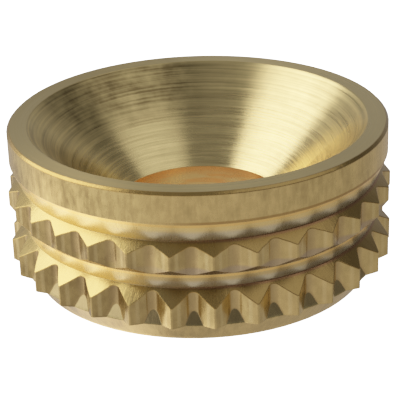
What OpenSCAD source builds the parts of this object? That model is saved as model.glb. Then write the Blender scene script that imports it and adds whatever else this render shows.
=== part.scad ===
// Screw cup socket: a solid brass ring, turned from bar, that is pressed into a
// countersunk hole and carries the head of a countersunk wood screw.
// Two straight-knurled bands grip the hole. The axis is Z, and Z = 0 is the nose face.

/* [Rim] */
// Outside diameter of the plain rim
rim_d = 13; // [12.4:0.1:14]
// Height of the plain rim
rim_h = 1.06; // [0.6:0.02:1.6]
// Width of the flat land between the mouth and the rim's outside
land_w = 0.68; // [0.3:0.02:1.2]
// Chamfer on the rim's top outer edge
rim_edge = 0.08; // [0.02:0.01:0.2]

/* [Screw seat] */
// Diameter of the hole for the screw's shank
bore_d = 5.6; // [4.2:0.1:6.4]
// Included angle of the countersink, in degrees
seat_angle = 90; // [82:1:100]
// Chamfer at the lower end of the hole
bore_edge = 0.15; // [0.05:0.01:0.4]

/* [Upper groove] */
// Diameter at the root of the upper groove
upper_root_d = 12.36; // [11.6:0.02:12.4]
// Height of the groove's upper wall
upper_wall_h = 0.72; // [0.4:0.02:1.2]
// Height of the shoulder that rises from the root to the teeth
upper_shoulder_h = 0.34; // [0.1:0.02:0.6]

/* [Upper knurl] */
// Diameter over the crests of the upper teeth
upper_knurl_d = 13.2; // [12.9:0.02:13.6]
// Depth of the valleys between the upper teeth
upper_knurl_depth = 0.3; // [0.2:0.01:0.34]
// Width of the upper valleys between their lips
upper_valley_w = 0.92; // [0.66:0.02:0.96]
// Radius at the bottom of the upper valleys
upper_valley_round = 0.38; // [0.16:0.02:0.4]
// How far the upper crests stand above the lips of their valleys
upper_crest_rise = 0.13; // [0.06:0.01:0.14]
// Length of the upper crests
upper_knurl_h = 0.48; // [0.3:0.02:1]
// Height of the chamfer under the upper teeth
upper_chamfer_h = 0.29; // [0.1:0.01:0.5]
// Diameter at the lower end of that chamfer
upper_chamfer_d = 12.54; // [12.2:0.02:12.8]

/* [Lower groove] */
// Diameter at the root of the lower groove
lower_root_d = 12.12; // [11.4:0.02:12.18]
// Height of the groove's upper wall
lower_wall_h = 0.57; // [0.3:0.01:1]
// Height of the shoulder that rises from the root to the teeth
lower_shoulder_h = 0.46; // [0.2:0.02:0.8]

/* [Lower knurl] */
// Diameter over the crests of the lower teeth
lower_knurl_d = 13.22; // [12.9:0.02:13.6]
// Depth of the valleys between the lower teeth
lower_knurl_depth = 0.46; // [0.36:0.01:0.5]
// Width of the lower valleys between their lips
lower_valley_w = 0.92; // [0.6:0.02:0.96]
// Radius at the bottom of the lower valleys
lower_valley_round = 0.28; // [0.1:0.02:0.3]
// How far the lower crests stand above the lips of their valleys
lower_crest_rise = 0.17; // [0.06:0.01:0.18]
// Length of the lower crests
lower_knurl_h = 0.72; // [0.4:0.02:1]
// How far the valley floors stop above the lower ends of the teeth
ledge_rise = 0.42; // [0.3:0.01:0.6]
// Angle of the ledges that close the valleys, in degrees from level
ledge_angle = 69; // [60:1:76]

/* [Knurl tool] */
// Number of teeth round each band
teeth = 30; // [24:1:34]
// Width of the flat left along each crest
crest_land = 0.06; // [0.02:0.01:0.2]

/* [Nose] */
// Height of the tapered nose
nose_h = 0.72; // [0.6:0.02:1.6]
// Diameter at the top of the nose
nose_top_d = 12.56; // [12.3:0.02:12.6]
// Diameter of the flat nose face
nose_d = 11.62; // [10:0.02:12]
// Height of the underside that leads from the nose out to the ends of the teeth
underside_h = 0.04; // [0.02:0.01:0.2]

/* [Hidden] */
$fn = 240;

// Radii of the turned outline
rim_r = rim_d / 2;
mouth_r = rim_r - land_w;
bore_r = bore_d / 2;
upper_crest_r = upper_knurl_d / 2;
lower_crest_r = lower_knurl_d / 2;
nose_r = nose_d / 2;
nose_top_r = nose_top_d / 2;

// Levels of the turned outline, stacked up from the nose face
lower_crest_end = nose_h + underside_h;
lower_crest_top = lower_crest_end + lower_knurl_h;
lower_root = lower_crest_top + lower_shoulder_h;
upper_chamfer_end = lower_root + lower_wall_h;
upper_crest_end = upper_chamfer_end + upper_chamfer_h;
upper_crest_top = upper_crest_end + upper_knurl_h;
upper_root = upper_crest_top + upper_shoulder_h;
rim_end = upper_root + upper_wall_h;
cup_h = rim_end + rim_h;

// The countersink narrows from the mouth to the hole at half its included angle
seat_depth = (mouth_r - bore_r) / tan(seat_angle / 2);
seat_end = cup_h - seat_depth;

// How far the cutters reach past the crests, and past the floors of the valleys
overreach = 0.4;
underreach = 0.05;

// The flanks start this share of the way out from the middle of the round bottom, just
// inside it, and so cross it at a clear angle
tuck = 0.98;

// Half of the cup's section, from the axis side round the outside
module cup_section() {
    polygon([
        [bore_r, seat_end],
        [bore_r, bore_edge],
        [bore_r + bore_edge, 0],
        [nose_r, 0],
        [nose_top_r, nose_h],
        [lower_crest_r, lower_crest_end],
        [lower_crest_r, lower_crest_top],
        [lower_root_d / 2, lower_root],
        [upper_chamfer_d / 2, upper_chamfer_end],
        [upper_crest_r, upper_crest_end],
        [upper_crest_r, upper_crest_top],
        [upper_root_d / 2, upper_root],
        [rim_r, rim_end],
        [rim_r, cup_h - rim_edge],
        [rim_r - rim_edge, cup_h],
        [mouth_r, cup_h]
    ]);
}

// Plan of one valley on the +X side: a round bottom, flanks up to the lips, low slopes
// through the crest circle, and parallel sides beyond it, clear of the next valley
module valley_plan(crest_r, depth, width, bottom_r, rise) {
    centre = crest_r - depth + bottom_r;
    lip_x = crest_r - rise;
    lip_y = width / 2;
    turn = atan2(lip_y, lip_x - centre) + acos(bottom_r / norm([lip_x - centre, lip_y]));
    foot_x = centre + tuck * bottom_r * cos(turn);
    foot_y = tuck * bottom_r * sin(turn);
    crest_angle = 180 / teeth - asin(crest_land / 2 / crest_r);
    crest_x = crest_r * cos(crest_angle);
    crest_y = crest_r * sin(crest_angle);
    side_y = crest_y + crest_land / 4;
    side_x = crest_x + (side_y - crest_y) * (crest_x - lip_x) / (crest_y - lip_y);
    translate([centre, 0])
        circle(r = bottom_r, $fn = 48);
    polygon([
        [foot_x, -foot_y],
        [lip_x, -lip_y],
        [side_x, -side_y],
        [crest_r + overreach, -side_y],
        [crest_r + overreach, side_y],
        [side_x, side_y],
        [lip_x, lip_y],
        [foot_x, foot_y]
    ]);
}

// The valleys of one band, spaced evenly between two levels
module valleys(crest_r, depth, width, bottom_r, rise, low, high) {
    translate([0, 0, low])
        linear_extrude(height = high - low)
            for (tooth = [0 : teeth - 1])
                rotate(tooth * 360 / teeth)
                    valley_plan(crest_r, depth, width, bottom_r, rise);
}

// Space above the ledges, which slope down and out from the valley floors
module above_ledges() {
    floor_r = lower_crest_r - lower_knurl_depth;
    floor_z = lower_crest_end + ledge_rise;
    inner_r = floor_r - underreach;
    outer_r = lower_crest_r + overreach;
    rotate_extrude()
        polygon([
            [inner_r, floor_z + (floor_r - inner_r) * tan(ledge_angle)],
            [outer_r, floor_z - (outer_r - floor_r) * tan(ledge_angle)],
            [outer_r, lower_root],
            [inner_r, lower_root]
        ]);
}

module screw_cup() {
    color("goldenrod")
        difference() {
            rotate_extrude()
                cup_section();
            valleys(upper_crest_r, upper_knurl_depth, upper_valley_w, upper_valley_round,
                    upper_crest_rise, lower_root, upper_root);
            intersection() {
                valleys(lower_crest_r, lower_knurl_depth, lower_valley_w, lower_valley_round,
                        lower_crest_rise, 0, lower_root);
                above_ledges();
            }
        }
}

screw_cup();
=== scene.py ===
import math
import bpy
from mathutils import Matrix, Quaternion, Vector


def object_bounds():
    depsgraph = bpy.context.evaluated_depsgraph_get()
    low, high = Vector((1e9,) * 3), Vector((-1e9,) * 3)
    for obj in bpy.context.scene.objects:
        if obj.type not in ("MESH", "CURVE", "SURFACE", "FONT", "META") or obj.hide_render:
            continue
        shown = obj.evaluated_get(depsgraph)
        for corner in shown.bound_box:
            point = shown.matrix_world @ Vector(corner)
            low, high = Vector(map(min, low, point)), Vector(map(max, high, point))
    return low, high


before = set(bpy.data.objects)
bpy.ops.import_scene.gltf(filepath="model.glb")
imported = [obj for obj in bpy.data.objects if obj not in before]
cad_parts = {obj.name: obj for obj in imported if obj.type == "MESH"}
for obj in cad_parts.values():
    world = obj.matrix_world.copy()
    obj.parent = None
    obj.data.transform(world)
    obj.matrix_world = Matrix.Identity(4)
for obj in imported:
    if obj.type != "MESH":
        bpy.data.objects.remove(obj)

MM = 0.001
CAD_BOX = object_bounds()
CUP_TOP = CAD_BOX[1].z
WHITE = (1, 1, 1, 1)

# The sockets of a Mix node that hold colours, and the curve that acts on all of them
MIX_FIRST, MIX_SECOND, MIX_OUT = 6, 7, 2
ALL_COLOURS = 3

# The cup's own sizes, in mm, which the finish follows
RIM_R = 6.5
MOUTH_R = 5.82
BORE_R = 2.8
CUP_H = 5.4
SEAT_END = CUP_H - (MOUTH_R - BORE_R)
UPPER_ROOT = 3.62
LOWER_ROOT = 1.94
TEETH = 30

# The shoulders that rise from the crests of the teeth to the roots of the grooves: the
# radius and level where each starts, the radius where it ends, how far it goes in for
# each mm up, and the distance from it, in mm, over which its colour fades
UPPER_CREST_R, UPPER_CREST_TOP, UPPER_ROOT_R = 6.6, 3.28, 6.18
LOWER_CREST_R, LOWER_CREST_TOP, LOWER_ROOT_R = 6.61, 1.48, 6.06
UPPER_LEAN = (UPPER_CREST_R - UPPER_ROOT_R) / (UPPER_ROOT - UPPER_CREST_TOP)
LOWER_LEAN = (LOWER_CREST_R - LOWER_ROOT_R) / (LOWER_ROOT - LOWER_CREST_TOP)
SHOULDER_SKIN = (0.02, 0.05)

# The ledges that close the lower valleys. They lean out by LEDGE_LEAN for each mm below
# LEDGE_TOP, where LEDGE_R is just outside them
LEDGE_TOP = 1.18
LEDGE_LEAN = 0.38
LEDGE_R = (6.17, 6.21)

# Radii and levels, in mm, between which one surface gives way to the next. SEAT_CONE is
# the radius less the level, which stays the same all the way up the seat
LAND_LEVEL = (CUP_H - 0.03, CUP_H - 0.01)
LAND_OUTER = (RIM_R - 0.1, RIM_R - 0.06)
SEAT_LEVEL = (SEAT_END - 0.02, SEAT_END + 0.02)
SEAT_CONE = (BORE_R - SEAT_END + 0.03, BORE_R - SEAT_END + 0.08)
OUTSIDE_R = (RIM_R - 0.7, RIM_R - 0.6)
HOLE_R = (3, 3.1)
EDGE_R = (RIM_R - 0.12, RIM_R - 0.08)
EDGE_LEVEL = (CUP_H - 0.12, CUP_H - 0.08)
BANDS_TOP = (3.6, 3.64)

# Levels, in mm, where each of these starts, is full, fades and ends
LEDGE_LEVELS = (0.78, 0.82, 1.2, 1.24)
LOWER_TEETH = (0.76, 0.8, 1.9, 1.94)
LOWER_SHOULDER = (1.42, 1.48, 1.94, 1.98)
LOWER_WALL = (1.92, 1.96, 2.48, 2.52)
LOWER_GOLD = (2.36, 2.41, 2.47, 2.5)
UNDER_TEETH = (2.49, 2.52, 2.72, 2.84)
UPPER_TEETH = (2.7, 2.8, 3.56, 3.6)
UPPER_SHOULDER = (3.22, 3.28, 3.62, 3.66)
UPPER_WALL = (3.6, 3.64, 4.3, 4.34)
UPPER_GOLD = (4.18, 4.23, 4.3, 4.33)
RIM_LINE = (4.3, 4.33, 4.39, 4.43)

# Levels, in mm, where the painted grey reflection low on the walls and the patches in the hole
# fade upwards
LOWER_GREY = (2.14, 2.32)
UPPER_GREY = (3.9, 4.12)
HOLE_PATCHES_END = (2, 2.3)

# Distance from a root, in mm, over which its dark line of painted shade fades
ROOT_LINE = (0.02, 0.07)

# Where the painted light and shade, and the wear, change round the cup. Right and left are shares
# of the radius towards +X and -X, and back is the share towards +Y
WEAR_AND_SHADE_LEFT = (-0.2, 0.5)
SHADE_PATCH_LEFT = (-0.25, 0.1)
SHADE_PATCH_BACK = (0.15, 0.6)
BANDS_LEFT = (-0.1, 0.15)
FAR_LEFT = (0.2, 0.6)
GOLD_SHOULDERS_END = (-0.45, -0.2)
WALLS_RIGHT = (-0.6, -0.2)
UNDER_RIGHT = (-0.5, -0.1)
RIM_LINE_RIGHT = (-0.35, 0)
BROWN_RIGHT = (-0.45, -0.1)
DEEP_BROWN_RIGHT = (-0.2, 0.3)
ROOT_RIGHT = (-0.5, 0.1)

# The tool's marks on the seat and the land: rings for each mm of radius, how much they
# break up into arcs round the cup, and how strong they are
FINE_RINGS, FINE_BREAKS, FINE_STRENGTH = 17, 1.4, 1.4
COARSE_RINGS, COARSE_BREAKS, COARSE_STRENGTH = 4, 1.5, 0.5

# Upright scratches on the outside, and the cloudiness that lies under all the marks
STREAKS_ROUND, STREAKS_UP, STREAK_STRENGTH = 34, 1.6, 1.1
STREAK_LIFT = 0.2
CLOUD_SCALE = 1.6
CLOUD_ON_STREAKS = 0.6

# All noise: its average, and how much of it is fine
NOISE_MEAN = 0.5
NOISE_ROUGHNESS = 0.6

# How deep the marks look, and how round the edges look
MARK_DEPTH = 0.004 * MM
MARK_STRENGTH = 1.0
EDGE_ROUND = 0.035 * MM
BEVEL_SAMPLES = 6

# Wear on the seat and the land, which grows outwards and roughens them; the darkening that goes
# with it is painted shade, stronger at the left. And a mottled patch of painted shade at the back
# of the left side
WEAR_AND_SHADE_R = (3.8, 5.7)
WEAR_AND_SHADE_ALL_ROUND = 0.3
WEAR_AND_SHADE_AT_LEFT = 0.7
SHADE_PATCH_R = (3.2, 5.2)

# Shade of the brass, from 0 for dark to 1 for pale, and what each thing does to it
SHADE = 0.7
MARK_CONTRAST = 0.75
TOP_CONTRAST_LOSS = 0.12
BANDS_CONTRAST_LOSS = 0.3
CLOUD_CONTRAST = 0.3
# Painted shade where the seat and the land are worn, stronger at the left
WEAR_PAINTED_SHADE = 0.1
# A mottled patch of painted shade at the back left of the seat
SHADE_PATCH_DARKENS = 0.4
SHADE_PATCH_CLOUD = 1.2
# Painted shade on the knurled bands, stronger towards the left
BANDS_DARKER = 0.12
BANDS_DARKER_LEFT = 0.12
BANDS_DARKER_FAR_LEFT = 0.03
# Painted shade on the outside towards the far left
OUTSIDE_DARKER_FAR_LEFT = 0.16
# Painted shade on the sides of the land, and painted reflection at its back
LAND_DARKER_SIDES = 0.75
LAND_LIGHTER_BACK = 0.1

# Colours of the brass, and of the painted highlights, shade and reflections laid over it
DARK_BRASS = (0.2, 0.145, 0.06, 1)
PALE_BRASS = (0.95, 0.74, 0.33, 1)
# Pale yellow painted highlight on the groove walls
WALL_YELLOW = (1, 0.78, 0.34, 1)
# Gold painted highlight on the shoulders, all but the right
SHOULDER_GOLD = (0.78, 0.54, 0.18, 1)
# Olive painted shade on the lower wall towards the right
WALL_OLIVE = (0.55, 0.43, 0.22, 1)
# Grey painted reflection low on the walls towards the right
WALL_GREY = (0.66, 0.64, 0.5, 1)
# Brown painted shade under the upper teeth on the right
UNDER_BROWN = (0.42, 0.34, 0.27, 1)
# Gold painted highlight along the tops of the groove walls
LIP_GOLD = (1, 0.68, 0.24, 1)
# Brown painted shade line under the rim, towards the right
LINE_BROWN = (0.4, 0.24, 0.08, 1)
HOLE_COPPER = (0.82, 0.42, 0.13, 1)
HOLE_TAN = (0.78, 0.6, 0.26, 1)
NICK_TAN = (0.8, 0.62, 0.32, 1)
LAND_TAN = (0.8, 0.62, 0.28, 1)
# Brown painted shade on the shoulders towards the right and on the outer edge, deeper towards the
# right
EDGE_BROWN = (0.5, 0.31, 0.09, 1)
DEEP_BROWN = (0.29, 0.18, 0.055, 1)
# Brown painted shade in the groove roots, towards the right
ROOT_BROWN = (0.3, 0.15, 0.08, 1)
# Brown painted shade in the middles of the valleys
VALLEY_BROWN = (0.42, 0.3, 0.17, 1)
# Pale painted highlight lines along the flanks of the teeth
FLANK_PALE = (1, 0.84, 0.46, 1)
# Brown painted shade on the ledges at the bottoms of the lower valleys
LEDGE_BROWN = (0.5, 0.37, 0.17, 1)

# How much of each colour is laid over what is under it
WALL_YELLOW_SHARE = 0.75
SHOULDER_GOLD_SHARE = 0.8
WALL_OLIVE_SHARE = 0.6
WALL_GREY_SHARE = 0.75
UNDER_SHARE = 0.65
LIP_GOLD_SHARE = 0.9
RIM_LINE_SHARE = 0.75
HOLE_SHARE = 0.75
NICK_SHARE = 0.7
LAND_SHARE = 0.6
SHOULDER_BROWN_SHARE = 0.1
SHOULDER_BROWN_RIGHT_SHARE = 0.8
EDGE_BROWN_SHARE = 0.9
ROOT_SHARE = 0.75
VALLEY_SHARE = 0.35
FLANK_SHARE = 0.22
LEDGE_SHARE = 0.8

# Patches of tan in the hole, and nicks on the edge: how fine they are, round and up
HOLE_PATCHES_ROUND, HOLE_PATCHES_UP, HOLE_PATCH_EDGE = 2.5, 6, (0.35, 0.65)
NICKS_ROUND, NICKS_UP, NICK_EDGE = 22, 2, (0.46, 0.6)

# The wave round the cup is 1 in the middles of the valleys and -1 at the crests. The valleys get
# brown painted shade where it is high, and their flanks get pale painted highlight lines where it
# is near FLANK_WAVE
VALLEY_MIDDLE = (0.3, 1)
FLANK_WAVE = -0.53
FLANK_WIDTH = (0.08, 0.3)

# Gloss: satin brass, with reflections drawn out across the turning lines
ROUGHNESS = 0.27
MARKS_ROUGHEN = 0.12
WEAR_ROUGHENS = 0.14
ANISOTROPY = 0.7
QUARTER_TURN = 0.25

# Camera
CAMERA_AZIMUTH = -3.15
CAMERA_ELEVATION = 20.94
CAMERA_DISTANCE = 52.5 * MM
CAMERA_ROLL = math.radians(1.92)
CAMERA_AIM = Vector((0, 0, 2.27 * MM))
CAMERA_NEAR = 1 * MM
CAMERA_FAR = 10
LENS = 138.2
SENSOR = 36

# Light: the strength of what the brass mirrors in each part of the room, how much more of
# it the table gives towards the left and the front, and the paper that only the camera sees
TABLE = 0.66
TABLE_LEFT = 0.17
TABLE_FRONT = 0.08
FRONT = 0.14
OVERHEAD = 0.27
BEHIND = 0.34
LEFT = 2.0
GLARE = 2.0
PAPER = 3.2

# Where in the room those parts start and are full, as shares of a unit vector's length
TABLE_EDGE = (-0.33, -0.05)
OVERHEAD_UP = (0.4, 0.85)
BEHIND_BACK = (0.3, 0.95)
LEFT_SIDE = (0.45, 0.9)
LEFT_FADES_UP = (0.1, 0.5)

# The glare on the table, in degrees: where its middle is, and its outer and inner edge
GLARE_AZIMUTH, GLARE_ELEVATION = -115, -50
GLARE_OUTER, GLARE_INNER = 32, 10

TABLE_TINT = (1, 0.87, 0.76, 1)
FLOOR_SIZE = 2.0
FLOOR_GREY = (0.8, 0.8, 0.8, 1)
FLOOR_ROUGHNESS = 0.8

# Film: how many times white the brightest light is, and where its curve has points
FILM_WHITE = 3.0
FILM_POINTS = (0.04, 0.1, 0.2, 0.35, 0.5, 0.7, 0.85)


def direction(azimuth, elevation):
    """Unit vector at degrees to the right of the -Y side and above the floor."""
    a, e = math.radians(azimuth), math.radians(elevation)
    return Vector((math.sin(a) * math.cos(e), -math.cos(a) * math.cos(e), math.sin(e)))


def make_camera():
    data = bpy.data.cameras.new("camera")
    data.lens = LENS
    data.sensor_width = SENSOR
    data.clip_start = CAMERA_NEAR
    data.clip_end = CAMERA_FAR
    camera = bpy.data.objects.new("camera", data)
    bpy.context.scene.collection.objects.link(camera)
    toward = direction(CAMERA_AZIMUTH, CAMERA_ELEVATION)
    camera.location = Vector((0, 0, CUP_TOP)) + CAMERA_DISTANCE * toward
    level = (CAMERA_AIM - camera.location).to_track_quat("-Z", "Y")
    camera.rotation_mode = "QUATERNION"
    camera.rotation_quaternion = level @ Quaternion((0, 0, 1), -CAMERA_ROLL)
    bpy.context.scene.camera = camera


def panel(name, azimuth, elevation, distance, width, height, radiance):
    """A soft box facing the cup, as bright as `radiance` wherever it is mirrored."""
    data = bpy.data.lights.new(name, "AREA")
    data.shape = "RECTANGLE"
    data.size = width
    data.size_y = height
    data.energy = radiance * math.pi * width * height
    light = bpy.data.objects.new(name, data)
    bpy.context.scene.collection.objects.link(light)
    toward = direction(azimuth, elevation)
    light.location = Vector((0, 0, CUP_TOP / 2)) + toward * distance
    light.rotation_mode = "QUATERNION"
    light.rotation_quaternion = toward.to_track_quat("Z", "Y")


class Number:
    """A number in a shader. Python's operators on it add Math nodes."""

    def __init__(self, nodes, socket):
        self.nodes, self.socket = nodes, socket

    def math(self, operation, *others):
        made = self.nodes.add("ShaderNodeMath", {"operation": operation}, self, *others)
        return Number(self.nodes, made.outputs[0])

    def __add__(self, other):
        return self.math("ADD", other)

    def __sub__(self, other):
        return self.math("SUBTRACT", other)

    def __mul__(self, other):
        return self.math("MULTIPLY", other)

    def __truediv__(self, other):
        return self.math("DIVIDE", other)

    def __neg__(self):
        return self.math("MULTIPLY", -1.0)

    def __abs__(self):
        return self.math("ABSOLUTE")

    def __radd__(self, other):
        return self + other

    def __rsub__(self, other):
        return self.nodes.number(other) - self

    def __rmul__(self, other):
        return self * other

    def step(self, start, end):
        """0 before `start` and 1 after `end`, with a smooth change between them."""
        made = self.nodes.add("ShaderNodeMapRange", {"interpolation_type": "SMOOTHSTEP"},
                              self, start, end, 0.0, 1.0)
        return Number(self.nodes, made.outputs[0])

    def fade(self, start, end):
        """1 before `start` and 0 after `end`."""
        return 1 - self.step(start, end)

    def between(self, start, full, fade, end):
        """0 before `start`, 1 from `full` to `fade` and 0 after `end`."""
        return self.step(start, full) * self.fade(fade, end)


class Nodes:
    """The node tree of one material or of the world."""

    def __init__(self, owner):
        owner.use_nodes = True
        self.tree = owner.node_tree

    def add(self, kind, settings, *inputs):
        node = self.tree.nodes.new(kind)
        for name, value in settings.items():
            setattr(node, name, value)
        for socket, value in zip(node.inputs, inputs):
            self.put(socket, value)
        return node

    def put(self, socket, value):
        if isinstance(value, Number):
            value = value.socket
        if isinstance(value, bpy.types.NodeSocket):
            self.tree.links.new(value, socket)
        else:
            socket.default_value = value

    def number(self, value):
        made = self.add("ShaderNodeMath", {"operation": "ADD"}, value, 0.0)
        return Number(self, made.outputs[0])

    def parts(self, vector):
        """The three numbers of a vector."""
        made = self.add("ShaderNodeSeparateXYZ", {}, vector)
        return [Number(self, part) for part in made.outputs]

    def place(self):
        """Object coordinates in mm: x, y, z and the distance from the axis."""
        coordinates = self.add("ShaderNodeTexCoord", {}).outputs["Object"]
        scaled = self.add("ShaderNodeVectorMath", {"operation": "SCALE"}, coordinates)
        scaled.inputs["Scale"].default_value = 1 / MM
        x, y, z = self.parts(scaled.outputs[0])
        r = (x * x + y * y).math("SQRT")
        return x, y, z, r

    def noise(self, x, y, z, detail, scale=1.0):
        at = self.add("ShaderNodeCombineXYZ", {}, x, y, z)
        made = self.add("ShaderNodeTexNoise", {"noise_dimensions": "3D"}, at.outputs[0])
        made.inputs["Scale"].default_value = scale
        made.inputs["Detail"].default_value = detail
        made.inputs["Roughness"].default_value = NOISE_ROUGHNESS
        return Number(self, made.outputs["Fac"])

    def mix(self, share, first, second):
        made = self.add("ShaderNodeMix", {"data_type": "RGBA"})
        self.put(made.inputs["Factor"], share)
        self.put(made.inputs[MIX_FIRST], first)
        self.put(made.inputs[MIX_SECOND], second)
        return made.outputs[MIX_OUT]


def make_world():
    """A dim room: a pale table with a glare on it, a bright left side, and white paper
    behind the cup."""
    world = bpy.data.worlds.new("studio")
    bpy.context.scene.world = world
    nodes = Nodes(world)
    background = nodes.tree.nodes["Background"]
    out = nodes.tree.nodes["World Output"]
    x, y, z = nodes.parts(nodes.add("ShaderNodeTexCoord", {}).outputs["Generated"])
    up = z.step(*TABLE_EDGE)
    table = TABLE - TABLE_LEFT * x - TABLE_FRONT * y
    room = FRONT + (OVERHEAD - FRONT) * z.step(*OVERHEAD_UP) + BEHIND * y.step(*BEHIND_BACK)
    spot = direction(GLARE_AZIMUTH, GLARE_ELEVATION)
    towards_spot = x * spot.x + y * spot.y + z * spot.z
    glare = GLARE * towards_spot.step(math.cos(math.radians(GLARE_OUTER)),
                                      math.cos(math.radians(GLARE_INNER)))
    left = LEFT * (-x).step(*LEFT_SIDE) * z.fade(*LEFT_FADES_UP)
    strength = (table + glare) * (1 - up) + (room + left) * up
    nodes.put(background.inputs["Color"], nodes.mix(up, TABLE_TINT, WHITE))
    nodes.put(background.inputs["Strength"], strength)
    # The camera sees only the paper
    paper = nodes.add("ShaderNodeBackground", {}, WHITE, PAPER)
    seen = nodes.add("ShaderNodeLightPath", {}).outputs["Is Camera Ray"]
    both = nodes.add("ShaderNodeMixShader", {}, seen, background.outputs[0], paper.outputs[0])
    nodes.put(out.inputs["Surface"], both.outputs[0])


def make_floor():
    """The paper under the cup. It glows, so it stays white, and the brass doesn't mirror it."""
    bpy.ops.mesh.primitive_plane_add(size=FLOOR_SIZE, location=(0, 0, 0))
    floor = bpy.context.object
    floor.name = "floor"
    paper = bpy.data.materials.new("paper")
    nodes = Nodes(paper)
    shader = nodes.tree.nodes["Principled BSDF"]
    shader.inputs["Base Color"].default_value = FLOOR_GREY
    shader.inputs["Roughness"].default_value = FLOOR_ROUGHNESS
    shader.inputs["Emission Color"].default_value = WHITE
    shader.inputs["Emission Strength"].default_value = PAPER
    floor.data.materials.append(paper)
    floor.visible_glossy = False
    floor.visible_shadow = False
    floor.visible_diffuse = False


class Cup:
    """Places on the cup, and where each surface lies: 1 on that surface and 0 elsewhere."""

    def __init__(self, nodes):
        x, y, z, r = nodes.place()
        self.x, self.y, self.z, self.r = x, y, z, r
        # Shares of the radius towards the right and the back
        self.right, self.back = x / r, y / r
        self.left = -self.right
        self.wave = (y.math("ARCTAN2", x) * TEETH).math("COSINE")
        self.land = z.step(*LAND_LEVEL) * r.fade(*LAND_OUTER)
        seat = z.step(*SEAT_LEVEL) * (r - z).fade(*SEAT_CONE)
        # The seat and the land are turned alike
        self.top = seat.math("MAXIMUM", self.land)
        self.outside = r.step(*OUTSIDE_R) * (1 - self.top)
        self.hole = z.fade(*SEAT_LEVEL) * r.fade(*HOLE_R)
        self.edge = r.step(*EDGE_R) * z.step(*EDGE_LEVEL)
        upper_line = UPPER_CREST_R - (z - UPPER_CREST_TOP) * UPPER_LEAN
        lower_line = LOWER_CREST_R - (z - LOWER_CREST_TOP) * LOWER_LEAN
        self.shoulders = (abs(r - upper_line).fade(*SHOULDER_SKIN) * z.between(*UPPER_SHOULDER)
                          + abs(r - lower_line).fade(*SHOULDER_SKIN) * z.between(*LOWER_SHOULDER))
        self.bands = self.outside * z.fade(*BANDS_TOP)
        below_ledge = (r - LEDGE_LEAN * (LEDGE_TOP - z)).fade(*LEDGE_R)
        self.ledges = self.outside * below_ledge * z.between(*LEDGE_LEVELS)
        self.upper_wall = self.outside * z.between(*UPPER_WALL)
        self.lower_wall = self.outside * z.between(*LOWER_WALL)
        self.roots = self.outside * (abs(z - UPPER_ROOT).fade(*ROOT_LINE)
                                     + abs(z - LOWER_ROOT).fade(*ROOT_LINE))
        both_bands = z.between(*LOWER_TEETH) + z.between(*UPPER_TEETH)
        self.teeth = self.outside * (1 - self.shoulders) * both_bands
        # Wear roughens the seat and the land, and darkens them as painted shade, more at the left
        self.wear_and_shade = self.top * r.step(*WEAR_AND_SHADE_R) * (WEAR_AND_SHADE_ALL_ROUND
                                                  + WEAR_AND_SHADE_AT_LEFT * self.left.step(*WEAR_AND_SHADE_LEFT))
        # A mottled patch of painted shade at the back left of the seat
        self.painted_shade_patch = (self.top * r.step(*SHADE_PATCH_R) * self.left.step(*SHADE_PATCH_LEFT)
                      * self.back.step(*SHADE_PATCH_BACK))


def tool_marks(nodes, cup, cloud):
    """Rings on the seat and the land, and upright scratches on the outside."""
    fine = nodes.noise(cup.r * FINE_RINGS, cup.right * FINE_BREAKS, cup.back * FINE_BREAKS,
                       detail=1)
    coarse = nodes.noise(cup.r * COARSE_RINGS, cup.right * COARSE_BREAKS,
                         cup.back * COARSE_BREAKS, detail=2)
    rings = (NOISE_MEAN + (fine - NOISE_MEAN) * FINE_STRENGTH
             + (coarse - NOISE_MEAN) * COARSE_STRENGTH)
    streaks = nodes.noise(cup.right * STREAKS_ROUND, cup.back * STREAKS_ROUND,
                          cup.z * STREAKS_UP, detail=3)
    scratches = ((streaks - NOISE_MEAN) * STREAK_STRENGTH + cloud * CLOUD_ON_STREAKS
                 + STREAK_LIFT)
    inside = (1 - cup.top) * (1 - cup.outside)
    return cup.top * rings + cup.outside * scratches + inside * cloud


def bare_brass(nodes, cup, marks, cloud):
    """The brass between dark and pale, before the grooves and the hole tint it, with painted
    shade where the seat is worn, in a patch at its back left, on the bands and the outside
    towards the left and on the sides of the land, and painted reflection at the back of the land.
    """
    contrast = MARK_CONTRAST - cup.top * TOP_CONTRAST_LOSS - cup.bands * BANDS_CONTRAST_LOSS
    far_left = cup.left.step(*FAR_LEFT)
    # Painted shade on the knurled bands, more towards the left
    bands_painted_shade = (BANDS_DARKER + BANDS_DARKER_LEFT * cup.left.step(*BANDS_LEFT)
                + BANDS_DARKER_FAR_LEFT * far_left)
    shade = (SHADE + (marks - NOISE_MEAN) * contrast + (cloud - NOISE_MEAN) * CLOUD_CONTRAST
             # painted shade where the seat and the land are worn
             - cup.wear_and_shade * WEAR_PAINTED_SHADE
             # painted shade in a mottled patch at the back left of the seat
             - cup.painted_shade_patch * (SHADE_PATCH_DARKENS + (cloud - NOISE_MEAN) * SHADE_PATCH_CLOUD)
             # painted shade on the knurled bands
             - cup.bands * bands_painted_shade
             # painted shade on the outside at the far left
             - cup.outside * OUTSIDE_DARKER_FAR_LEFT * far_left
             # painted shade on the sides of the land and painted reflection at its back
             - cup.land * abs(cup.right) * LAND_DARKER_SIDES
             + cup.land * cup.back * LAND_LIGHTER_BACK)
    return nodes.mix(shade, DARK_BRASS, PALE_BRASS)


def hole_colour(nodes, cup):
    """Copper, with patches of tan below the upper end of the hole."""
    patches = nodes.noise(cup.right * HOLE_PATCHES_ROUND, cup.back * HOLE_PATCHES_ROUND,
                          cup.z * HOLE_PATCHES_UP, detail=2).step(*HOLE_PATCH_EDGE)
    return nodes.mix(patches * cup.z.fade(*HOLE_PATCHES_END), HOLE_COPPER, HOLE_TAN)


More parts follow.
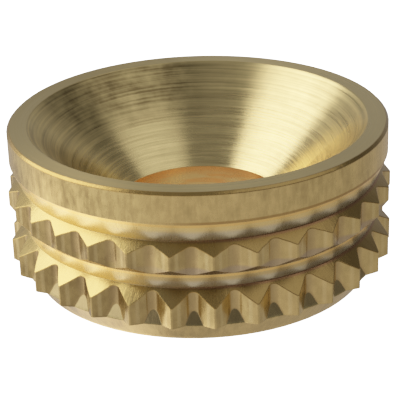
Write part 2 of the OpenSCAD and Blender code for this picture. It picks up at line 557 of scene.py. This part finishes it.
def brass_colour(nodes, cup, marks, cloud):
    """Bare brass, with one tint after another laid over it: painted highlights and painted shade
    on the walls, shoulders, teeth, ledges, roots, rim line and edge, and the own colours of the
    hole, the nicks and the land.
    """
    z, right = cup.z, cup.right
    walls_right = right.step(*WALLS_RIGHT)
    # Grey painted reflection low on the walls
    grey_wall_reflections = cup.upper_wall * z.fade(*UPPER_GREY) + cup.lower_wall * z.fade(*LOWER_GREY)
    # Painted shade under the upper teeth, on the right
    under = cup.outside * z.between(*UNDER_TEETH) * right.step(*UNDER_RIGHT)
    # Painted highlight along the tops of the groove walls
    lip_highlights = cup.outside * (z.between(*UPPER_GOLD) + z.between(*LOWER_GOLD))
    # A line of painted shade under the rim, towards the right
    rim_shade_line = cup.outside * z.between(*RIM_LINE) * right.step(*RIM_LINE_RIGHT)
    nicks = nodes.noise(right * NICKS_ROUND, cup.back * NICKS_ROUND, z * NICKS_UP,
                        detail=2).step(*NICK_EDGE)
    # Painted shade on the shoulders towards the right and on the outer edge
    brown_shade = (cup.shoulders * (SHOULDER_BROWN_SHARE
                              + SHOULDER_BROWN_RIGHT_SHARE * right.step(*BROWN_RIGHT))
             + cup.edge * EDGE_BROWN_SHARE)
    deeper_shade = nodes.mix(right.step(*DEEP_BROWN_RIGHT), EDGE_BROWN, DEEP_BROWN)
    # Painted highlight lines along the flanks of the teeth
    flank_highlights = cup.teeth * abs(cup.wave - FLANK_WAVE).fade(*FLANK_WIDTH)
    tints = (
        # Pale yellow painted highlight on the groove walls
        ((cup.upper_wall + cup.lower_wall) * WALL_YELLOW_SHARE, WALL_YELLOW),
        # Gold painted highlight on the shoulders, all but the right
        (cup.shoulders * right.fade(*GOLD_SHOULDERS_END) * SHOULDER_GOLD_SHARE, SHOULDER_GOLD),
        # Olive painted shade on the lower wall towards the right
        (cup.lower_wall * WALL_OLIVE_SHARE * walls_right, WALL_OLIVE),
        # Grey painted reflection low on the walls towards the right
        (grey_wall_reflections * WALL_GREY_SHARE * walls_right, WALL_GREY),
        # Brown painted shade under the upper teeth on the right
        (under * UNDER_SHARE, UNDER_BROWN),
        # Gold painted highlight along the tops of the groove walls
        (lip_highlights * LIP_GOLD_SHARE, LIP_GOLD),
        # Brown painted shade line under the rim, towards the right
        (rim_shade_line * RIM_LINE_SHARE, LINE_BROWN),
        (cup.hole * HOLE_SHARE, hole_colour(nodes, cup)),
        (cup.edge * nicks * NICK_SHARE, NICK_TAN),
        (cup.land * LAND_SHARE, LAND_TAN),
        # Brown painted shade on the shoulders towards the right and on the outer edge
        (brown_shade, deeper_shade),
        # Brown painted shade in the groove roots, towards the right
        (cup.roots * ROOT_SHARE * right.step(*ROOT_RIGHT), ROOT_BROWN),
        # Brown painted shade in the middles of the valleys
        (cup.teeth * cup.wave.step(*VALLEY_MIDDLE) * VALLEY_SHARE, VALLEY_BROWN),
        # Pale painted highlight lines along the flanks of the teeth
        (flank_highlights * FLANK_SHARE, FLANK_PALE),
        # Brown painted shade on the ledges
        (cup.ledges * LEDGE_SHARE, LEDGE_BROWN),
    )
    colour = bare_brass(nodes, cup, marks, cloud)
    for share, tint in tints:
        colour = nodes.mix(share, colour, tint)
    return colour


def make_brass():
    brass = bpy.data.materials.new("brass")
    nodes = Nodes(brass)
    shader = nodes.tree.nodes["Principled BSDF"]
    cup = Cup(nodes)
    cloud = nodes.noise(cup.x, cup.y, cup.z, detail=3, scale=CLOUD_SCALE)
    marks = tool_marks(nodes, cup, cloud)
    roughness = ROUGHNESS + (marks - NOISE_MEAN) * MARKS_ROUGHEN + cup.wear_and_shade * WEAR_ROUGHENS
    nodes.put(shader.inputs["Base Color"], brass_colour(nodes, cup, marks, cloud))
    nodes.put(shader.inputs["Roughness"], roughness)

    # Edges and marks catch the light as if they were rounded off and cut in
    rounded = nodes.add("ShaderNodeBevel", {"samples": BEVEL_SAMPLES}, EDGE_ROUND)
    bump = nodes.add("ShaderNodeBump", {}, MARK_STRENGTH, MARK_DEPTH)
    nodes.put(bump.inputs["Height"], marks)
    nodes.put(bump.inputs["Normal"], rounded.outputs[0])
    nodes.put(shader.inputs["Normal"], bump.outputs[0])
    shader.inputs["Metallic"].default_value = 1
    shader.inputs["Anisotropic"].default_value = ANISOTROPY
    shader.inputs["Anisotropic Rotation"].default_value = QUARTER_TURN
    return brass


def set_film():
    """A soft shoulder, as film has: bright brass goes pale before it goes white."""
    view = bpy.context.scene.view_settings
    view.view_transform = "Standard"
    view.use_curve_mapping = True
    mapping = view.curve_mapping
    mapping.white_level = (FILM_WHITE, FILM_WHITE, FILM_WHITE)
    points = mapping.curves[ALL_COLOURS].points
    for share in FILM_POINTS:
        points.new(share, (1 - math.exp(-FILM_WHITE * share)) / (1 - math.exp(-FILM_WHITE)))
    mapping.update()


make_camera()
make_world()
make_floor()
panel("key", azimuth=-109, elevation=42, distance=0.25, width=0.2, height=0.21, radiance=3.3)
panel("fill", azimuth=72, elevation=56, distance=0.25, width=0.21, height=0.18, radiance=0.86)
set_film()

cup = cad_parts["screw_cup"]
cup.material_slots[0].material = make_brass()
